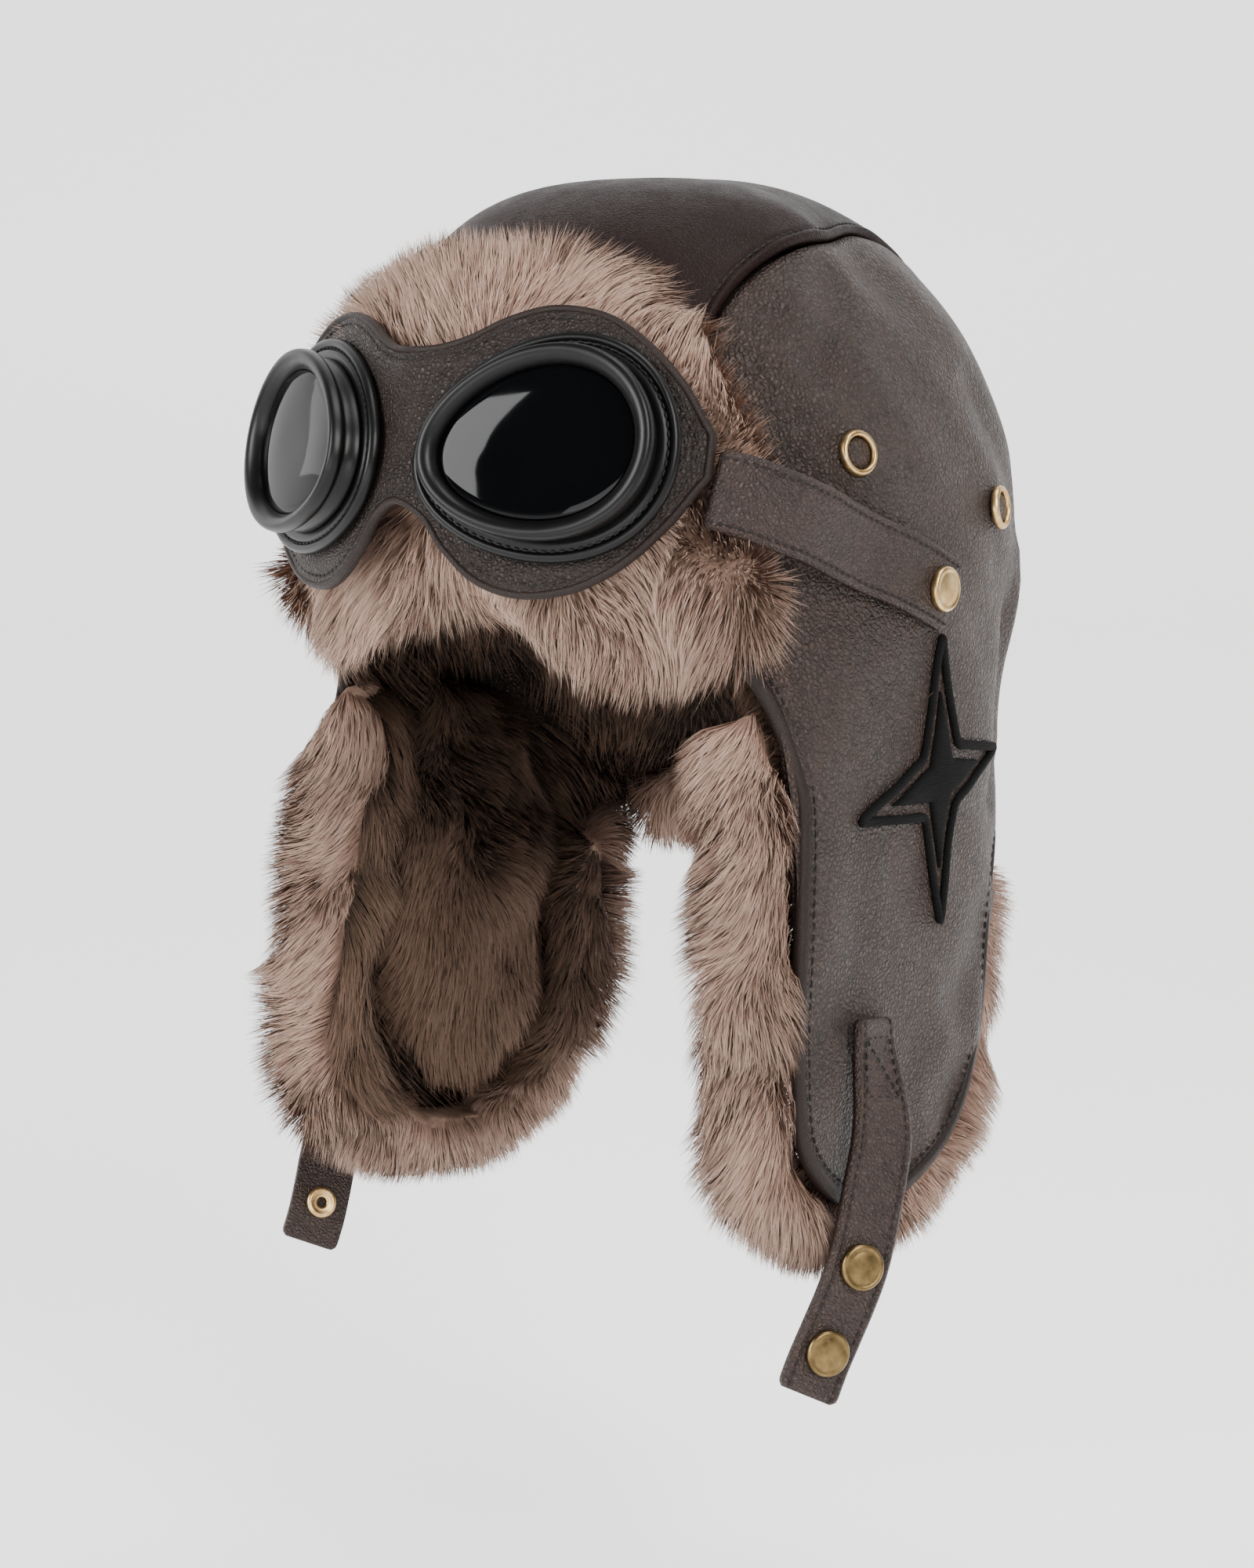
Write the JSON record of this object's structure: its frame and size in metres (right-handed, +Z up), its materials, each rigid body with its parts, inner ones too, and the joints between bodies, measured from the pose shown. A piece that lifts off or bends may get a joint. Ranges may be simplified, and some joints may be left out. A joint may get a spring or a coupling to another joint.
{
  "type": "flying helmet",
  "caption": "Dark brown leather flying helmet with fur lining, turned-up fur brow flap, black goggles, long ear flaps and chin straps.",
  "frame": {"origin": "middle of the head opening at the brow, where a head holds the helmet", "axes": "+X to the wearer's left, +Y to the back of the head, +Z up"},
  "size_m": [0.2327, 0.2531, 0.3591],
  "materials": {
    "crown_leather": "smooth, soft sheen",
    "flap_leather": "pebbled grain",
    "strap_leather": "grained, stitched",
    "mask_leather": "grained, stitched",
    "outer_fur": "deep artificial fur",
    "inner_fur": "short dense artificial fur",
    "cup_plastic": "satin",
    "lens_black": "polished, opaque tint",
    "bright_brass": "brushed",
    "old_brass": "aged, brushed",
    "thread": "satin embroidery"
  },
  "bodies": {
    "root": {"crown_middle_panel": "crown_leather", "side_panel_left": "flap_leather", "side_panel_right": "flap_leather", "crown_lining": "inner_fur", "ear_lining_left": "inner_fur", "ear_lining_right": "inner_fur", "nape_fur_edge": "outer_fur", "brow_flap": "outer_fur", "ear_fur_edge_left": "outer_fur", "ear_fur_edge_right": "outer_fur", "goggle_mask": "mask_leather", "eye_flange_left": "cup_plastic", "eye_barrel_left": "cup_plastic", "eye_lens_left": "lens_black", "goggle_strap_left": "strap_leather", "chin_strap_left": "strap_leather", "goggle_snap_left": "bright_brass", "crown_ring_left_front": "bright_brass", "crown_disc_left_front": "flap_leather", "crown_ring_left_rear": "bright_brass", "crown_disc_left_rear": "flap_leather", "chin_snap_left_upper": "old_brass", "chin_socket_left_upper": "bright_brass", "chin_snap_left_lower": "old_brass", "chin_socket_left_lower": "bright_brass", "eye_flange_right": "cup_plastic", "eye_barrel_right": "cup_plastic", "eye_lens_right": "lens_black", "goggle_strap_right": "strap_leather", "chin_strap_right": "strap_leather", "goggle_snap_right": "bright_brass", "crown_ring_right_front": "bright_brass", "crown_disc_right_front": "flap_leather", "crown_ring_right_rear": "bright_brass", "crown_disc_right_rear": "flap_leather", "chin_snap_right_upper": "old_brass", "chin_socket_right_upper": "bright_brass", "chin_snap_right_lower": "old_brass", "chin_socket_right_lower": "bright_brass", "star_border": "thread", "star_fill": "thread"}
  },
  "joints": []
}
